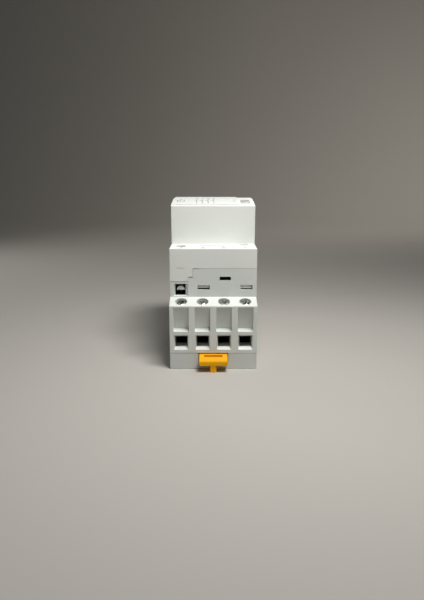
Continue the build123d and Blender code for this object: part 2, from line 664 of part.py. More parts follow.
# ---- Pole terminals ----
def pole_screw(x, turn):
    """Terminal screw with a slot and a cross recess, turned about its axis."""
    head_top = -HEAD_DEPTH
    screw = post(HEAD_RADIUS, (head_top - HEAD_HEIGHT, head_top))
    screw = fillet(screw.edges().sort_by(Axis.Z)[-1], HEAD_ROUND)
    screw += post(SHANK_RADIUS, (CLAMP_WINDOW_TOP - 0.15, head_top - HEAD_HEIGHT))
    recess_z = (head_top - HEAD_RECESS_DEPTH, head_top + 1)
    screw -= centred(HEAD_RADIUS + 1, HEAD_RECESS_HALF, recess_z)
    screw -= centred(HEAD_RECESS_HALF, HEAD_RADIUS - 0.45, recess_z)
    rim = screw.faces().filter_by(Axis.Z).sort_by(Axis.Z)[-4:].edges()
    lips = rim.filter_by(lambda edge: edge.geom_type == GeomType.LINE)
    screw = chamfer(lips, HEAD_RECESS_BEVEL)
    return on_tilt(x) * (Rot(0, 0, turn) * screw)


def pole_clamp(x):
    """Cage clamp: a square ring with a threaded top."""
    cage = centred(CLAMP_HALF_X, CLAMP_HALF_Y, (CLAMP_BOTTOM, CLAMP_TOP))
    cage = fillet(cage.edges().filter_by(Axis.Y), 0.3)
    cage -= centred(CLAMP_WINDOW_HALF, CLAMP_HALF_Y + 1, (CLAMP_WINDOW_BOTTOM, CLAMP_WINDOW_TOP))
    cage -= post(SHANK_RADIUS + THREAD_CLEARANCE, (CLAMP_WINDOW_TOP - 1, CLAMP_TOP + 1))
    return on_tilt(x) * cage


def fixed_contact(x):
    """Copper bar from inside the cage to over the bridge's end."""
    middle_z = CHANNEL_TOP_Z - BAR_THICKNESS / 2
    start = tilt_point(BAR_START, BAR_ON_AXIS)
    bend_y = start[0] + (middle_z - start[1]) / tan(radians(TILT))
    points = [start, (bend_y, middle_z), (BAR_END_Y, middle_z)]
    return strip(points, BAR_THICKNESS, (x - BAR_HALF_X, x + BAR_HALF_X))


def fixed_tip(x):
    """Silver tip under a fixed contact."""
    top = CHANNEL_TOP_Z - BAR_THICKNESS
    return post(TIP_RADIUS, (top - TIP_HEIGHT, top), x, -TIP_Y)


# ---- Moving contacts ----
def moving_bridge(x):
    """Double-break bridge across a pole."""
    bar = centred(BRIDGE_HALF_X, BRIDGE_HALF_Y, (BRIDGE_BOTTOM_Z, BRIDGE_TOP_Z), x)
    return fillet(bar.edges().filter_by(Axis.Z), 1.2)


def moving_tip(x):
    """Silver tip on a bridge."""
    return post(TIP_RADIUS, (BRIDGE_TOP_Z, BRIDGE_TOP_Z + TIP_HEIGHT), x, -TIP_Y)


def contact_spring(x):
    """Spring that presses a bridge up in its window."""
    z_span = (STEM_BOTTOM_Z + STEM_BAR, BRIDGE_BOTTOM_Z)
    return coil_spring(CONTACT_SPRING_RADIUS, CONTACT_SPRING_WIRE, z_span, CONTACT_SPRING_TURNS, x)


def carrier_stem(x):
    """Stem with the window that holds one bridge and its spring."""
    stem = centred(STEM_HALF_X, STEM_HALF_Y, (STEM_BOTTOM_Z, PLATE_BOTTOM_Z + 0.5), x)
    window = (STEM_BOTTOM_Z + STEM_BAR, BRIDGE_TOP_Z)
    return stem - centred(STEM_WINDOW_HALF, STEM_HALF_Y + 1, window, x)


def contact_carrier():
    """Insulating carrier: stems below, armature cradle above."""
    body = centred(PLATE_HALF_X, PLATE_HALF_Y, (PLATE_BOTTOM_Z, PLATE_TOP_Z))
    for x in POLE_X:
        body += carrier_stem(x)
    for side in (-1, 1):
        cheek_z = (PLATE_TOP_Z - 1, ARMATURE_YOKE_Z - 1.5)
        body += centred(CHEEK_HALF_X, CHEEK_HALF_Y, cheek_z, side * CHEEK_X)
    return body - pin_bore()


def pin_bore():
    """Bore for the armature's pin, right across the carrier."""
    return Pos(0, 0, PIN_Z) * Rot(0, 90, 0) * Cylinder(PIN_RADIUS + PIN_CLEARANCE, 2 * HALF_WIDTH)


def armature():
    """Laminated E-shaped armature."""
    body = centred(CORE_HALF_X, CORE_HALF_Y, (ARMATURE_BOTTOM_Z, ARMATURE_TOP_Z))
    for side in (-1, 1):
        middle = side * (CORE_CENTRE_HALF_Y + CORE_LEG_INNER_Y) / 2
        half = (CORE_LEG_INNER_Y - CORE_CENTRE_HALF_Y) / 2
        body -= centred(CORE_HALF_X + 1, half, (ARMATURE_YOKE_Z, ARMATURE_TOP_Z + 1), 0, middle)
    return body - pin_bore()


def armature_pin():
    """Pin that holds the armature between the carrier's cheeks."""
    return Pos(0, 0, PIN_Z) * Rot(0, 90, 0) * Cylinder(PIN_RADIUS, 2 * (CHEEK_X + CHEEK_HALF_X))


def armature_pad():
    """Soft pad between the carrier and the armature."""
    return centred(CORE_HALF_X, CORE_HALF_Y - 2, (PLATE_TOP_Z, ARMATURE_BOTTOM_Z))


# ---- Fixed magnet and coil ----
def shading_ring():
    """Square ring let into an outer pole face of the core."""
    middle_y = -(CORE_LEG_INNER_Y + CORE_HALF_Y) / 2
    inner_x = RING_HALF_X - RING_SECTION
    inner_y = RING_HALF_Y - RING_SECTION
    outside = centred(RING_HALF_X, RING_HALF_Y, (CORE_FACE_Z, CORE_FACE_Z + RING_DEPTH), 0, middle_y)
    return outside - centred(inner_x, inner_y, (CORE_FACE_Z - 1, CORE_FACE_Z + 2 * RING_DEPTH), 0, middle_y)


def fixed_core():
    """Laminated E core, pole faces down."""
    body = centred(CORE_HALF_X, CORE_HALF_Y, (CORE_FACE_Z, CORE_TOP_Z))
    for side in (-1, 1):
        middle = side * (CORE_CENTRE_HALF_Y + CORE_LEG_INNER_Y) / 2
        half = (CORE_LEG_INNER_Y - CORE_CENTRE_HALF_Y) / 2
        body -= centred(CORE_HALF_X + 1, half, (CORE_FACE_Z - 1, CORE_YOKE_Z), 0, middle)
    body -= both_ends(shading_ring())
    for y in RIVET_Y:
        body -= Pos(0, y, RIVET_Z) * Rot(0, 90, 0) * Cylinder(RIVET_RADIUS + PIN_CLEARANCE, 2 * HALF_WIDTH)
    return body


def core_rivet(y):
    """Rivet through the core's laminations, with a head on each side."""
    rivet = Cylinder(RIVET_RADIUS, 2 * CORE_HALF_X)
    for side in (-1, 1):
        head_x = side * (CORE_HALF_X + RIVET_HEAD_HEIGHT / 2)
        rivet += Pos(0, 0, head_x) * Cylinder(RIVET_HEAD_RADIUS, RIVET_HEAD_HEIGHT)
    return Pos(0, y, RIVET_Z) * Rot(0, 90, 0) * rivet


def coil_bobbin():
    """Bobbin on the centre leg, with ears for the coil leads."""
    body = centred(TUBE_HALF_X, TUBE_HALF_Y, (BOBBIN_BOTTOM_Z, BOBBIN_TOP_Z))
    low_z = (BOBBIN_BOTTOM_Z, BOBBIN_BOTTOM_Z + FLANGE_THICKNESS)
    body += centred(FLANGE_HALF_X, FLANGE_HALF_Y, low_z)
    body += centred(FLANGE_HALF_X, FLANGE_HALF_Y, (BOBBIN_TOP_Z - FLANGE_THICKNESS, BOBBIN_TOP_Z))
    ear = block((COIL_X - LEAD_HALF_X - 0.4, -FLANGE_HALF_X + 1), (-FLANGE_HALF_Y, LEAD_END_Y + 1.5), low_z)
    body += both_ends(ear)
    return body - centred(TUBE_HALF_X - TUBE_WALL, TUBE_HALF_Y - TUBE_WALL, (0, CORE_TOP_Z))


def coil_winding():
    """Wound wire with its tape, between the bobbin's flanges."""
    z_span = (BOBBIN_BOTTOM_Z + FLANGE_THICKNESS, BOBBIN_TOP_Z - FLANGE_THICKNESS)
    body = centred(FLANGE_HALF_X - 0.5, FLANGE_HALF_Y - 0.8, z_span)
    body = fillet(body.edges().filter_by(Axis.Z), 3.0)
    return body - centred(TUBE_HALF_X, TUBE_HALF_Y, (0, CORE_TOP_Z))


def core_buffer():
    """Rubber pad between the core and the cover's ribs."""
    return centred(CORE_HALF_X, BUFFER_HALF_Y, (CORE_TOP_Z, CORE_TOP_Z + BUFFER_THICKNESS))


def return_spring(x):
    """Spring that lowers the carrier when the coil is off."""
    z_span = (PLATE_TOP_Z, BOBBIN_BOTTOM_Z)
    return coil_spring(RETURN_SPRING_RADIUS, RETURN_SPRING_WIRE, z_span, RETURN_SPRING_TURNS, x)


# ---- Coil terminals ----
def coil_thread():
    """Hole for a coil terminal screw."""
    return post(COIL_SHANK_RADIUS + THREAD_CLEARANCE, (0, SHOULDER_Z), COIL_X, COIL_SCREW_Y)


def coil_lead():
    """Nut plate on the shelf and its strip to the bobbin's ear."""
    plate_z = (COIL_SHELF_Z, NUT_PLATE_TOP_Z)
    plate = centred(NUT_PLATE_HALF_X, NUT_PLATE_HALF_Y, plate_z, COIL_X, COIL_SCREW_Y) - coil_thread()
    middle_z = COIL_SHELF_Z + 0.8
    start_y = COIL_SCREW_Y + NUT_PLATE_HALF_Y - 0.1
    points = [(start_y, middle_z), (LEAD_END_Y, middle_z), (LEAD_END_Y, BOBBIN_BOTTOM_Z)]
    return plate + strip(points, LEAD_THICKNESS, (COIL_X - LEAD_HALF_X, COIL_X + LEAD_HALF_X))


def coil_saddle():
    """Half-round saddle that presses the wire on the nut plate, its end just inside the entry."""
    length = SADDLE_Y[1] - SADDLE_Y[0]
    arch = Pos(COIL_X, sum(SADDLE_Y) / 2, SADDLE_BOTTOM_Z) * Rot(90, 0, 0) * Cylinder(SADDLE_RADIUS, length)
    upper_half = block((-HALF_WIDTH, 0), SADDLE_Y, (SADDLE_BOTTOM_Z, SHOULDER_Z))
    return (arch & upper_half) - coil_thread()


def coil_screw():
    """Coil terminal screw under its guide in the shoulder."""
    head_top = COIL_HEAD_Z + COIL_HEAD_HEIGHT
    screw = post(COIL_HEAD_RADIUS, (COIL_HEAD_Z, head_top), COIL_X, COIL_SCREW_Y)
    screw += post(COIL_SHANK_RADIUS, (COIL_SHELF_Z + 0.2, COIL_HEAD_Z), COIL_X, COIL_SCREW_Y)
    slot_z = (head_top - COIL_SLOT_DEPTH, head_top + 1)
    cross_z = (head_top - COIL_CROSS_DEPTH, head_top + 1)
    slot = centred(COIL_HEAD_RADIUS + 1, COIL_RECESS_HALF, slot_z, COIL_X, COIL_SCREW_Y)
    cross = centred(COIL_RECESS_HALF, COIL_CROSS_HALF_Y, cross_z, COIL_X, COIL_SCREW_Y)
    return screw - slot - cross


# ---- Indicator ----
def indicator_flag():
    """Blade on the carrier that shows under the window."""
    middle_y = sum(WINDOW_Y) / 2
    blade_y = (middle_y - FLAG_HALF_Y, middle_y + FLAG_HALF_Y)
    head_y = (middle_y - FLAG_HEAD_HALF_Y, middle_y + FLAG_HEAD_HALF_Y)
    blade = block(FLAG_X, blade_y, (PLATE_TOP_Z, FLAG_HEAD_Z[1]))
    return blade + block(FLAG_HEAD_X, head_y, FLAG_HEAD_Z)


# ---- Nodes ----
def single_nodes():
    """Nodes that hold one piece, or a group of small identical pieces."""
    nodes = {
        "base_plate": base_plate(),
        "main_housing": main_housing(),
        "top_cover": top_cover(),
        "front_plate": front_plate(),
        "indicator_window": indicator_window(),
        "din_clip": din_clip(),
        "contact_carrier": contact_carrier(),
        "armature": armature(),
        "armature_pad": armature_pad(),
        "armature_pin": armature_pin(),
        "fixed_core": fixed_core(),
        "core_buffer": core_buffer(),
        "coil_bobbin": coil_bobbin(),
        "coil_winding": coil_winding(),
        "indicator_flag": indicator_flag(),
    }
    tips = [both_ends(fixed_tip(x)) for x in POLE_X]
    moving = [both_ends(moving_tip(x)) for x in POLE_X]
    screws = [both_ends(pole_screw(x, turn)) for x, turn in zip(POLE_X, SCREW_TURNS)]
    nodes["fixed_contact_tips"] = group(sum(tips, []))
    nodes["moving_contact_tips"] = group(sum(moving, []))
    nodes["pole_screws"] = group(sum(screws, []))
    nodes["coil_screws"] = group(both_ends(coil_screw()))
    nodes["shading_rings"] = group(both_ends(shading_ring()))
    nodes["core_rivets"] = group([core_rivet(y) for y in RIVET_Y])
    return nodes


def repeated_nodes():
    """Nodes that repeat by pole or by end."""
    nodes = {}
    for number, x in enumerate(POLE_X, start=1):
        nodes[f"line_clamp_{number}"] = pole_clamp(x)
        nodes[f"load_clamp_{number}"] = far(pole_clamp(x))
        nodes[f"line_contact_{number}"] = fixed_contact(x)
        nodes[f"load_contact_{number}"] = far(fixed_contact(x))
        nodes[f"moving_bridge_{number}"] = moving_bridge(x)
        nodes[f"contact_spring_{number}"] = contact_spring(x)
    for name, shape in (("coil_lead", coil_lead()), ("coil_saddle", coil_saddle())):
        nodes[f"line_{name}"] = shape
        nodes[f"load_{name}"] = far(shape)
    nodes["return_spring_left"] = return_spring(-RETURN_SPRING_X)
    nodes["return_spring_right"] = return_spring(RETURN_SPRING_X)
    return nodes


def main():
    """Build every node and write its STEP file."""
    os.makedirs("parts", exist_ok=True)
    nodes = {**single_nodes(), **repeated_nodes()}
    for name, shape in nodes.items():
        export_step(shape, f"parts/{name}.step")
        print(name, len(shape.solids()), round(shape.volume, 2))


main()
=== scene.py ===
"""Looks of the modular contactor: materials, printed marks, springs, light and camera."""

import json
from math import cos, pi, radians, sin

import bmesh
import bpy
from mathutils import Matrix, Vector


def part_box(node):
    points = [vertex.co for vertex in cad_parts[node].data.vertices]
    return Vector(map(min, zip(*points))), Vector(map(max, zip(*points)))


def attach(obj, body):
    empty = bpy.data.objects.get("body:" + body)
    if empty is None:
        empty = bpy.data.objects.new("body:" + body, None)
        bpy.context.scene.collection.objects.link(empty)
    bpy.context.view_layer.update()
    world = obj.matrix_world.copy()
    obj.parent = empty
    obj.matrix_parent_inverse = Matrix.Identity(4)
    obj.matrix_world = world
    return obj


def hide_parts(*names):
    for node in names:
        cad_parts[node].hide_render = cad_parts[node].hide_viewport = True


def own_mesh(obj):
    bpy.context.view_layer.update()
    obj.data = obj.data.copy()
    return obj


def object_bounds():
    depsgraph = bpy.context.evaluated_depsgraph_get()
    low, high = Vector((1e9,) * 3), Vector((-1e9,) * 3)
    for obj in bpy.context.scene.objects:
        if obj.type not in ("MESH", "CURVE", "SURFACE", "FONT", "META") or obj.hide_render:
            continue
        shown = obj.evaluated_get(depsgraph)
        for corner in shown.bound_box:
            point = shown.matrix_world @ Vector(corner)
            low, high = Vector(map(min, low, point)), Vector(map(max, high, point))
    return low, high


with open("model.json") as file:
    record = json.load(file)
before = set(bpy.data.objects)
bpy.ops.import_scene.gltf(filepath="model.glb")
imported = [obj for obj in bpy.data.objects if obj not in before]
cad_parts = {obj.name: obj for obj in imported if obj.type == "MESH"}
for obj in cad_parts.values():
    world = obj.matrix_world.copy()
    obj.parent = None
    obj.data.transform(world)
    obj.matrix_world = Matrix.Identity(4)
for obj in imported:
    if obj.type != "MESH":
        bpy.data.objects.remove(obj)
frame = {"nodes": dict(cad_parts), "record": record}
cad_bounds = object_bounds()
nodes = frame["nodes"]

MM = 0.001
POLES = range(1, 5)


# ---- Node helpers ----
class Finish:
    """A material being built: a Principled shader and short calls for the nodes before it."""

    def __init__(self, name, **sockets):
        self.material = bpy.data.materials.new(name)
        self.material.use_nodes = True
        self.tree = self.material.node_tree
        self.shader = self.tree.nodes["Principled BSDF"]
        for socket, value in sockets.items():
            self.shader.inputs[socket.replace("_", " ")].default_value = value
        self.place = self.node("ShaderNodeTexCoord").outputs["Object"]

    def node(self, kind, **settings):
        made = self.tree.nodes.new(kind)
        for key, value in settings.items():
            setattr(made, key, value)
        return made

    def link(self, output, socket):
        self.tree.links.new(output, socket)

    def stretched(self, scale, turn=(0, 0, 0)):
        """Object coordinates scaled by axis, for grain that runs one way."""
        mapping = self.node("ShaderNodeMapping")
        mapping.inputs["Scale"].default_value = scale
        mapping.inputs["Rotation"].default_value = turn
        self.link(self.place, mapping.inputs["Vector"])
        return mapping.outputs["Vector"]

    def noise(self, scale, detail=3.0, roughness=0.5, vector=None):
        made = self.node("ShaderNodeTexNoise")
        made.inputs["Scale"].default_value = scale
        made.inputs["Detail"].default_value = detail
        made.inputs["Roughness"].default_value = roughness
        self.link(vector or self.place, made.inputs["Vector"])
        return made.outputs["Fac"]

    def voronoi(self, scale):
        made = self.node("ShaderNodeTexVoronoi")
        made.inputs["Scale"].default_value = scale
        self.link(self.place, made.inputs["Vector"])
        return made.outputs["Distance"]

    def bands(self, axis, pitch, distortion=0.0):
        """Even stripes across one axis, a given distance apart."""
        made = self.node("ShaderNodeTexWave", wave_type="BANDS", bands_direction=axis)
        made.inputs["Scale"].default_value = pi / (10 * pitch)
        made.inputs["Distortion"].default_value = distortion
        self.link(self.place, made.inputs["Vector"])
        return made.outputs["Fac"]

    def range(self, value, low, high, out_low=0.0, out_high=1.0):
        made = self.node("ShaderNodeMapRange")
        self.link(value, made.inputs["Value"])
        limits = {"From Min": low, "From Max": high, "To Min": out_low, "To Max": out_high}
        for socket, number in limits.items():
            made.inputs[socket].default_value = number
        return made.outputs["Result"]

    def blend(self, factor, first, second):
        made = self.node("ShaderNodeMix", data_type="RGBA")
        self.link(factor, made.inputs["Factor"])
        for socket, colour in (("A", first), ("B", second)):
            target = next(s for s in made.inputs if s.name == socket and s.type == "RGBA")
            if isinstance(colour, tuple):
                target.default_value = (*colour, 1.0)
            else:
                self.link(colour, target)
        return next(s for s in made.outputs if s.type == "RGBA")

    def colour(self, output):
        self.link(output, self.shader.inputs["Base Color"])

    def rough(self, output):
        self.link(output, self.shader.inputs["Roughness"])

    def bump(self, height, strength, distance, under=None):
        made = self.node("ShaderNodeBump")
        made.inputs["Strength"].default_value = strength
        made.inputs["Distance"].default_value = distance
        self.link(height, made.inputs["Height"])
        if under is not None:
            self.link(under, made.inputs["Normal"])
        self.link(made.outputs["Normal"], self.shader.inputs["Normal"])
        return made.outputs["Normal"]


# ---- Materials ----
def moulded(name, light, shade, grain=2600, rough=(0.38, 0.52), strength=0.25, gloss=0.45):
    """Injection-moulded plastic: eroded grain, faint flow clouds, handling scuffs."""
    finish = Finish(name, Specular_IOR_Level=gloss)
    clouds = finish.range(finish.noise(45, 4, 0.6), 0.35, 0.68)
    base = finish.blend(clouds, light, shade)
    specks = finish.range(finish.voronoi(900), 0.0, 0.055, 1.0, 0.0)
    sparse = finish.range(finish.noise(160, 2), 0.60, 0.66)
    gate = finish.node("ShaderNodeMath", operation="MULTIPLY")
    finish.link(specks, gate.inputs[0])
    finish.link(sparse, gate.inputs[1])
    finish.colour(finish.blend(gate.outputs["Value"], base, tuple(0.72 * c for c in shade)))
    scuffs = finish.noise(120, 6, 0.7, finish.stretched((1.0, 3.0, 1.0)))
    finish.rough(finish.range(scuffs, 0.3, 0.7, *rough))
    waves = finish.bump(finish.noise(60, 2), 0.25, 0.00012)
    finish.bump(finish.noise(grain, 4, 0.65), strength, 0.00004, waves)
    return finish.material


def plated(name, light, shade, rough=(0.22, 0.42), stain=(0.30, 0.28, 0.24)):
    """Zinc-plated steel: fine scratches, cloudy passivation and a few dull stains."""
    finish = Finish(name, Metallic=1.0)
    clouds = finish.range(finish.noise(520, 4, 0.6), 0.35, 0.7)
    base = finish.blend(clouds, light, shade)
    stains = finish.range(finish.noise(300, 3, 0.7), 0.62, 0.75)
    finish.colour(finish.blend(stains, base, stain))
    scratches = finish.noise(900, 5, 0.7, finish.stretched((1.0, 9.0, 1.0), (0.3, 0.2, 0.7)))
    finish.rough(finish.range(scratches, 0.3, 0.7, *rough))
    finish.bump(scratches, 0.18, 0.00003)
    return finish.material


def bare_metal(name, light, shade, rough=(0.25, 0.45)):
    """Copper, brass or silver: rolling marks along the length and tarnish."""
    finish = Finish(name, Metallic=1.0)
    tarnish = finish.range(finish.noise(260, 4, 0.65), 0.4, 0.75)
    finish.colour(finish.blend(tarnish, light, shade))
    rolling = finish.noise(700, 4, 0.6, finish.stretched((6.0, 0.5, 1.0)))
    finish.rough(finish.range(rolling, 0.3, 0.7, *rough))
    finish.bump(rolling, 0.15, 0.00003)
    return finish.material


def laminated(name):
    """Stack of steel sheets across X, with oxide between them."""
    finish = Finish(name, Metallic=1.0)
    sheets = finish.bands("X", 0.5 * MM)
    seams = finish.range(sheets, 0.0, 0.35)
    blued = finish.blend(finish.range(finish.noise(180, 3), 0.4, 0.7), (0.34, 0.34, 0.36), (0.24, 0.22, 0.22))
    finish.colour(finish.blend(seams, (0.06, 0.05, 0.05), blued))
    finish.rough(finish.range(finish.noise(900, 4), 0.3, 0.7, 0.35, 0.6))
    finish.bump(sheets, 0.5, 0.00008)
    return finish.material


def wound(name):
    """Enamelled wire, turn beside turn."""
    finish = Finish(name, Metallic=0.6, Coat_Weight=0.8, Coat_Roughness=0.12)
    turns = finish.bands("Z", 0.16 * MM, 0.4)
    # The colour runs from dark to light across each turn: painted shade in the grooves between the turns.
    finish.colour(finish.blend(finish.range(turns, 0.0, 0.6), (0.16, 0.05, 0.02), (0.60, 0.24, 0.09)))
    finish.rough(finish.range(finish.noise(400, 3), 0.3, 0.7, 0.25, 0.4))
    finish.bump(turns, 0.6, 0.00006)
    return finish.material


def clear_lens(name):
    """Frosted window, milky from its grained back face."""
    finish = Finish(name, Transmission_Weight=0.45, IOR=1.49)
    milky = finish.range(finish.noise(90, 3), 0.4, 0.7)
    finish.colour(finish.blend(milky, (0.86, 0.87, 0.85), (0.78, 0.80, 0.79)))
    finish.rough(finish.range(finish.noise(700, 5, 0.7), 0.3, 0.75, 0.22, 0.38))
    finish.bump(finish.noise(120, 2), 0.1, 0.00004)
    return finish.material


def soft_rubber(name):
    """Dull black rubber."""
    finish = Finish(name, Specular_IOR_Level=0.3)
    finish.colour(finish.blend(finish.noise(220, 4), (0.012, 0.012, 0.012), (0.035, 0.034, 0.032)))
    finish.rough(finish.range(finish.noise(500, 3), 0.3, 0.7, 0.65, 0.85))
    finish.bump(finish.noise(1800, 3), 0.3, 0.00005)
    return finish.material


def printed(name, ink):
    """Pad-printed ink, slightly broken."""
    finish = Finish(name, Specular_IOR_Level=0.4)
    worn = finish.range(finish.noise(2200, 3), 0.35, 0.75)
    finish.colour(finish.blend(worn, ink, tuple(min(1.0, 1.3 * c) for c in ink)))
    finish.rough(finish.range(finish.noise(900, 2), 0.3, 0.7, 0.45, 0.6))
    return finish.material


FINISHES = {
    # The housing is the same white plastic as the cover; its lower tone is painted shade on the end faces,
    # ribs and recesses below.
    "housing_plastic": moulded("housing_plastic", (0.73, 0.76, 0.73), (0.69, 0.72, 0.69)),
    "cover_plastic": moulded("cover_plastic", (0.82, 0.84, 0.81), (0.79, 0.81, 0.78)),
    # The base is the same white plastic too; its still lower tone is painted shade at the bottom of the body.
    "base_plastic": moulded("base_plastic", (0.66, 0.69, 0.67), (0.62, 0.65, 0.63)),
    "front_plastic": moulded(
        "front_plastic", (0.76, 0.78, 0.76), (0.73, 0.75, 0.73), 1800, (0.36, 0.48), 0.12,
    ),
    "clip_plastic": moulded(
        "clip_plastic", (0.97, 0.47, 0.004), (0.91, 0.42, 0.003), 1500, (0.50, 0.62), 0.2, 0.15,
    ),
    "bobbin_plastic": moulded("bobbin_plastic", (0.022, 0.022, 0.024), (0.014, 0.014, 0.016)),
    "carrier_plastic": moulded("carrier_plastic", (0.030, 0.030, 0.032), (0.018, 0.018, 0.020)),
    "flag_plastic": moulded("flag_plastic", (0.55, 0.015, 0.010), (0.48, 0.012, 0.008)),
    "zinc_screw": plated("zinc_screw", (0.94, 0.94, 0.92), (0.80, 0.80, 0.78), (0.10, 0.22)),
    "zinc_clamp": plated("zinc_clamp", (0.84, 0.85, 0.83), (0.70, 0.71, 0.70), (0.18, 0.34)),
    # The coil saddles are plated like the clamps; this lighter copy is painted light on them, deep in their
    # terminals.
    "saddle_painted_light": plated(
        "saddle_painted_light", (0.97, 0.97, 0.96), (0.90, 0.90, 0.89), (0.35, 0.5), (0.7, 0.69, 0.66),
    ),
    # The coil screws are plated like the pole screws; this near-black copy paints the shade over them inside
    # the coil terminals.
    "dark_steel": plated(
        "dark_steel", (0.10, 0.10, 0.10), (0.06, 0.06, 0.06), (0.3, 0.5), (0.05, 0.04, 0.04),
    ),
    "spring_steel": plated("spring_steel", (0.48, 0.48, 0.49), (0.38, 0.38, 0.39)),
    "copper": bare_metal("copper", (0.80, 0.40, 0.24), (0.46, 0.22, 0.13)),
    "brass_strip": bare_metal("brass_strip", (0.82, 0.64, 0.30), (0.56, 0.42, 0.18)),
    "silver": bare_metal("silver", (0.86, 0.85, 0.82), (0.66, 0.64, 0.60), (0.2, 0.38)),
    "core_steel": laminated("core_steel"),
    "winding": wound("winding"),
    "clear_lens": clear_lens("clear_lens"),
    "rubber": soft_rubber("rubber"),
    "ink": printed("ink", (0.17, 0.175, 0.17)),
}


def paint_cad_nodes():
    """Give every CAD node the finish of its slot, and the coil saddles a lighter copy of the plating, which
    paints light on them.
    """
    slots = {part["node"]: part["material_slot"] for part in frame["record"]["subparts"]}
    for name, piece in nodes.items():
        piece.data.materials.clear()
        piece.data.materials.append(FINISHES[slots[name]])
    for name in ("line_coil_saddle", "load_coil_saddle"):
        nodes[name].data.materials[0] = FINISHES["saddle_painted_light"]


paint_cad_nodes()


# ---- Mesh helpers ----
def new_piece(name, mesh, slot, body):
    """Mesh as a piece that rides on a body and takes its finish from a slot."""
    piece = bpy.data.objects.new(name, mesh)
    bpy.context.scene.collection.objects.link(piece)
    mesh.materials.clear()
    mesh.materials.append(FINISHES[slot])
    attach(piece, body)
    return piece


def tube(name, path, radius, sides=10):
    """Closed round wire along a list of points."""
    form = bmesh.new()
    rings = []
    for index, point in enumerate(path):
        ahead = path[min(index + 1, len(path) - 1)] - path[max(index - 1, 0)]
        across = ahead.cross(Vector((0, 0, 1))).normalized()
        over = ahead.cross(across).normalized()
        ring = []
        for side in range(sides):
            angle = 2 * pi * side / sides
            ring.append(form.verts.new(point + radius * (cos(angle) * across + sin(angle) * over)))
        rings.append(ring)
    for first, second in zip(rings, rings[1:]):
        for side in range(sides):
            after = (side + 1) % sides
            form.faces.new((first[side], second[side], second[after], first[after]))
    form.faces.new(rings[0])
    form.faces.new(rings[-1][::-1])
    bmesh.ops.recalc_face_normals(form, faces=form.faces)
    mesh = bpy.data.meshes.new(name)
    form.to_mesh(mesh)
    form.free()
    for face in mesh.polygons:
        face.use_smooth = len(face.vertices) == 4
    return mesh


# ---- Return springs ----
SPRING_WIRE = 0.28 * MM
SPRING_TURNS = 8
SPRING_END_TURNS = 1.0


def spring_path(low, high):
    """Helix between two corners of a box, with a closed turn at each end."""
    middle = (low + high) / 2
    radius = (high.x - low.x) / 2 - SPRING_WIRE
    bottom, top = low.z + SPRING_WIRE, high.z - SPRING_WIRE
    end_rise = 2.1 * SPRING_WIRE
    points = []
    steps = 24 * SPRING_TURNS
    for step in range(steps + 1):
        turn = SPRING_TURNS * step / steps
        if turn < SPRING_END_TURNS:
            z = bottom + end_rise * turn / SPRING_END_TURNS
        elif turn > SPRING_TURNS - SPRING_END_TURNS:
            z = top - end_rise * (SPRING_TURNS - turn) / SPRING_END_TURNS
        else:
            share = (turn - SPRING_END_TURNS) / (SPRING_TURNS - 2 * SPRING_END_TURNS)
            z = bottom + end_rise + share * (top - bottom - 2 * end_rise)
        angle = 2 * pi * turn
        points.append(Vector((middle.x + radius * cos(angle), middle.y + radius * sin(angle), z)))
    return points


def return_spring(side):
    """Spring above the carrier, a coiled wire built in the box of its CAD node, in place of that node."""
    node = f"return_spring_{side}"
    low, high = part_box(node)
    wire = tube(node, spring_path(low, high), SPRING_WIRE)
    piece = new_piece(f"coiled_{node}", wire, "spring_steel", "housing")
    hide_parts(node)
    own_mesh(piece)


for spring_side in ("left", "right"):
    return_spring(spring_side)


# ---- Printed marks ----
INK = 0.012 * MM
STROKE = 0.28 * MM
BOLD = 2 * STROKE
HEAVY = 4 * STROKE
DIAGRAM_DIGIT = 1.6 * MM
POSITION_DIGIT = 1.9 * MM
TERMINAL_DIGIT = 3.0 * MM
DIGIT_CAP = 0.7
ABOVE = 0.2

# Diagram on the front plate
SWITCH_SPREAD = 2.5 * MM
SWITCH_LINE_Y, BLADE_Y, TIP_Y, SWITCH_LOAD_Y = -17.6 * MM, -14.6 * MM, -11.2 * MM, -7.6 * MM
BLADE_LEAN = 0.35
DIGIT_OFFSET = 1.4 * MM
COIL_Y = -14.4 * MM
COIL_HALF_X, COIL_HALF_Y = 1.5 * MM, 1.9 * MM
COIL_LEAD_UP, COIL_LEAD_DOWN = 3.2 * MM, 1.6 * MM
COIL_INSET, SWITCH_INSET, POSITION_INSET = 3.2 * MM, 10.2 * MM, 1.6 * MM
POSITION_OFFSET = 2.0 * MM
WINDOW_BAR_OFFSET = 2.3 * MM

# Marks on the shoulders
TERMINAL_Y = 32.9 * MM
RULE_OFFSET = 5.4 * MM
RULE_OVERHANG = 1.2 * MM
RULE_FOOT = 2.4 * MM
PATCH_OFFSET, PATCH_PITCH = 7.2 * MM, 1.7 * MM
PATCH_LEFT, PATCH_RIGHT = 1.8 * MM, 1.6 * MM


def lay_on(mesh, node):
    """Drop a flat mesh's vertices onto the top of a CAD node, an ink's thickness proud."""
    for vertex in mesh.vertices:
        start = Vector((vertex.co.x, vertex.co.y, ABOVE))
        hit, place, _, _ = nodes[node].ray_cast(start, Vector((0, 0, -1)))
        if hit:
            vertex.co.z = place.z + INK


def digit_mesh(text, x, y, height):
    """Flat mesh of a digit, centred at (x, y)."""
    curve = bpy.data.curves.new("digit", "FONT")
    curve.body = text
    curve.size = height / DIGIT_CAP
    curve.align_x = "CENTER"
    curve.align_y = "CENTER"
    curve.resolution_u = 3
    letter = bpy.data.objects.new("digit", curve)
    mesh = bpy.data.meshes.new_from_object(letter)
    bpy.data.objects.remove(letter)
    for vertex in mesh.vertices:
        vertex.co = Vector((vertex.co.x + x, vertex.co.y + y, 0))
    return mesh


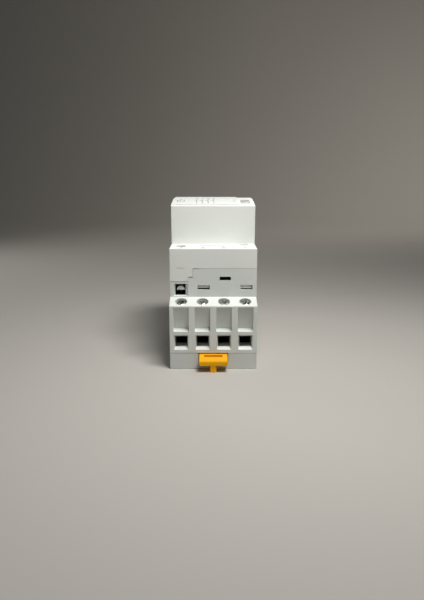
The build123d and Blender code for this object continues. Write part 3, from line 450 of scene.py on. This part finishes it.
def bar_mesh(start, end, width, cells=6):
    """Flat stroke between two (x, y) points, cut into cells so that it can follow a curve."""
    first, last = Vector(start), Vector(end)
    side = (last - first).normalized().orthogonal() * width / 2
    corners = []
    for cell in range(cells + 1):
        point = first.lerp(last, cell / cells)
        corners += [(*(point - side), 0), (*(point + side), 0)]
    faces = [(2 * i, 2 * i + 1, 2 * i + 3, 2 * i + 2) for i in range(cells)]
    mesh = bpy.data.meshes.new("stroke")
    mesh.from_pydata(corners, [], faces)
    return mesh


def joined(name, meshes):
    """Several meshes as one, with every face up."""
    form = bmesh.new()
    for mesh in meshes:
        form.from_mesh(mesh)
        bpy.data.meshes.remove(mesh)
    for face in form.faces:
        if face.normal.z < 0:
            face.normal_flip()
    mesh = bpy.data.meshes.new(name)
    form.to_mesh(mesh)
    form.free()
    return mesh


def print_on(name, node, meshes):
    """Strokes and digits as one printed piece on a CAD node."""
    mesh = joined(name, meshes)
    lay_on(mesh, node)
    new_piece(name, mesh, "ink", "housing")


def pole_places():
    """X of each pole, from the four line contacts."""
    return [sum(v.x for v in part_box(f"line_contact_{pole}")) / 2 for pole in POLES]


def switch_symbols(first_x):
    """Plain switch symbol for each pole, with its numbers, joined by a dashed link."""
    marks = []
    for pole in POLES:
        x = first_x + SWITCH_SPREAD * (pole - 1)
        marks.append(bar_mesh((x, SWITCH_LINE_Y), (x, BLADE_Y), STROKE))
        marks.append(bar_mesh((x, BLADE_Y), (x - BLADE_LEAN * SWITCH_SPREAD, TIP_Y), STROKE))
        marks.append(bar_mesh((x, TIP_Y), (x, SWITCH_LOAD_Y), STROKE))
        marks.append(digit_mesh(str(2 * pole - 1), x, SWITCH_LINE_Y - DIGIT_OFFSET, DIAGRAM_DIGIT))
        marks.append(digit_mesh(str(2 * pole), x, SWITCH_LOAD_Y + DIGIT_OFFSET, DIAGRAM_DIGIT))
    link_y = (BLADE_Y + TIP_Y) / 2
    for dash in range(2 * len(POLES) - 2):
        start = first_x + SWITCH_SPREAD * (dash / 2 - 0.1)
        marks.append(bar_mesh((start, link_y), (start + 0.3 * SWITCH_SPREAD, link_y), STROKE))
    return marks


def coil_symbol(x):
    """Box with a diagonal and a lead at each side."""
    low_x, high_x = x - COIL_HALF_X, x + COIL_HALF_X
    low_y, high_y = COIL_Y - COIL_HALF_Y, COIL_Y + COIL_HALF_Y
    corners = [(low_x, low_y), (high_x, low_y), (high_x, high_y), (low_x, high_y), (low_x, low_y)]
    marks = [bar_mesh(start, end, STROKE) for start, end in zip(corners, corners[1:])]
    marks.append(bar_mesh((low_x, low_y), (x, high_y), STROKE))
    marks.append(bar_mesh((x, high_y), (x, high_y + COIL_LEAD_UP), STROKE))
    marks.append(bar_mesh((x, low_y), (x, low_y - COIL_LEAD_DOWN), STROKE))
    return marks


def front_marks():
    """Diagram on the front plate, and position numbers beside the window."""
    low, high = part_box("front_plate")
    marks = switch_symbols(low.x + SWITCH_INSET)
    marks += coil_symbol(low.x + COIL_INSET)
    pane_low, pane_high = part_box("indicator_window")
    x = high.x - POSITION_INSET
    marks.append(digit_mesh("0", x, pane_low.y + POSITION_OFFSET, POSITION_DIGIT))
    marks.append(digit_mesh("1", x, pane_high.y - POSITION_OFFSET, POSITION_DIGIT))
    print_on("front_plate_marks", "front_plate", marks)
    y = pane_low.y - WINDOW_BAR_OFFSET
    print_on("window_mark", "top_cover", [bar_mesh((pane_low.x, y), (pane_high.x, y), BOLD)])


def shoulder_marks(name, end, first_number):
    """Terminal numbers along a shoulder, a rule over the middle poles and two short bars."""
    places = pole_places()
    marks = []
    for pole, x in enumerate(places):
        marks.append(digit_mesh(str(first_number + 2 * pole), x, end * TERMINAL_Y, TERMINAL_DIGIT))
    rule_y = end * (TERMINAL_Y - RULE_OFFSET)
    rule_end = places[2] - RULE_OVERHANG
    marks.append(bar_mesh((places[1] - RULE_OVERHANG, rule_y), (rule_end, rule_y), HEAVY))
    marks.append(bar_mesh((rule_end, rule_y), (places[2], end * (TERMINAL_Y - RULE_FOOT)), BOLD))
    for row in (0, 1):
        y = end * (TERMINAL_Y - PATCH_OFFSET - row * PATCH_PITCH)
        marks.append(bar_mesh((places[3] - PATCH_LEFT, y), (places[3] + PATCH_RIGHT, y), HEAVY))
    print_on(name, "top_cover", marks)


front_marks()
shoulder_marks("line_shoulder_marks", -1, 1)
shoulder_marks("load_shoulder_marks", 1, 2)


# ---- Stage ----
BACKDROP_HALF = 1.6
FLOOR_FRONT = -1.2
BEND_START = 0.55
BEND_RADIUS = 0.5
BEND_STEPS = 16
WALL_TOP = 1.8


def backdrop():
    """Floor that sweeps up into a wall behind, one plain surface."""
    floor_z = cad_bounds[0][2]
    profile = [(FLOOR_FRONT, 0.0), (BEND_START, 0.0)]
    for step in range(1, BEND_STEPS + 1):
        angle = radians(90 * step / BEND_STEPS)
        profile.append((BEND_START + BEND_RADIUS * sin(angle), BEND_RADIUS * (1 - cos(angle))))
    profile.append((BEND_START + BEND_RADIUS, WALL_TOP))
    mesh = bpy.data.meshes.new("backdrop")
    corners = [(x, y, floor_z + z) for y, z in profile for x in (-BACKDROP_HALF, BACKDROP_HALF)]
    faces = [(2 * i, 2 * i + 1, 2 * i + 3, 2 * i + 2) for i in range(len(profile) - 1)]
    mesh.from_pydata(corners, [], faces)
    for face in mesh.polygons:
        face.use_smooth = True
    piece = bpy.data.objects.new("backdrop", mesh)
    bpy.context.scene.collection.objects.link(piece)
    paper = Finish("backdrop_paper", Specular_IOR_Level=0.2, Roughness=0.9)
    paper.colour(paper.blend(paper.noise(3.0, 2), (0.49, 0.47, 0.44), (0.51, 0.49, 0.46)))
    mesh.materials.append(paper.material)


def area_light(name, place, aim, size, power, colour):
    """Soft rectangular lamp that points at aim."""
    data = bpy.data.lights.new(name, "AREA")
    data.shape = "RECTANGLE"
    data.size, data.size_y = size
    data.energy = power
    data.color = colour
    lamp = bpy.data.objects.new(name, data)
    lamp.location = place
    lamp.rotation_euler = (Vector(aim) - Vector(place)).to_track_quat("-Z", "Y").to_euler()
    bpy.context.scene.collection.objects.link(lamp)


ROOM_COLOUR = (0.93, 0.95, 0.92, 1.0)
ROOM_STRENGTH = 0.06
LAMPS = (
    dict(
        name="key",
        place=(0.05, -0.100, 0.235),
        aim=(0, -0.01, 0.03),
        size=(0.10, 0.07),
        power=0.64,
        colour=(1.0, 0.99, 0.96),
    ),
    dict(
        name="front_fill",
        place=(-0.25, -0.9, 0.45),
        aim=(0, 0, 0.03),
        size=(0.8, 0.6),
        power=0.02,
        colour=(0.97, 0.99, 1.0),
    ),
    dict(
        name="wall_wash",
        place=(0.45, 0.50, 0.35),
        aim=(0.30, 0.90, 0.05),
        size=(0.9, 0.3),
        power=1.2,
        colour=(1.0, 0.95, 0.87),
    ),
    dict(
        name="back_fill",
        place=(-0.30, 0.20, 0.18),
        aim=(0, 0.02, 0.03),
        size=(0.14, 0.14),
        power=0.22,
        colour=(1.0, 0.99, 0.97),
    ),
)


def light_the_stage():
    """Soft key lamp close overhead, weak fills in front and behind, a wash on the wall and a dim room."""
    for lamp in LAMPS:
        area_light(**lamp)
    world = bpy.data.worlds.new("room")
    world.use_nodes = True
    background = world.node_tree.nodes["Background"]
    background.inputs["Color"].default_value = ROOM_COLOUR
    background.inputs["Strength"].default_value = ROOM_STRENGTH
    bpy.context.scene.world = world
    bpy.context.scene.view_settings.view_transform = "Standard"


# ---- Camera ----
LENS = 33.17
SENSOR = 36.0
CAMERA_PLACE = (-1.45 * MM, -260.0 * MM, 76.17 * MM)
CAMERA_TILT = 13.48
CAMERA_TURN = -0.24
NEAREST = 0.01


def place_camera():
    """Camera low in front of the line terminals, looking slightly down."""
    data = bpy.data.cameras.new("camera")
    data.lens = LENS
    data.sensor_width = SENSOR
    data.clip_start = NEAREST
    camera = bpy.data.objects.new("camera", data)
    camera.location = CAMERA_PLACE
    camera.rotation_euler = (radians(90 - CAMERA_TILT), 0, radians(CAMERA_TURN))
    bpy.context.scene.collection.objects.link(camera)
    bpy.context.scene.camera = camera


place_camera()
backdrop()
light_the_stage()
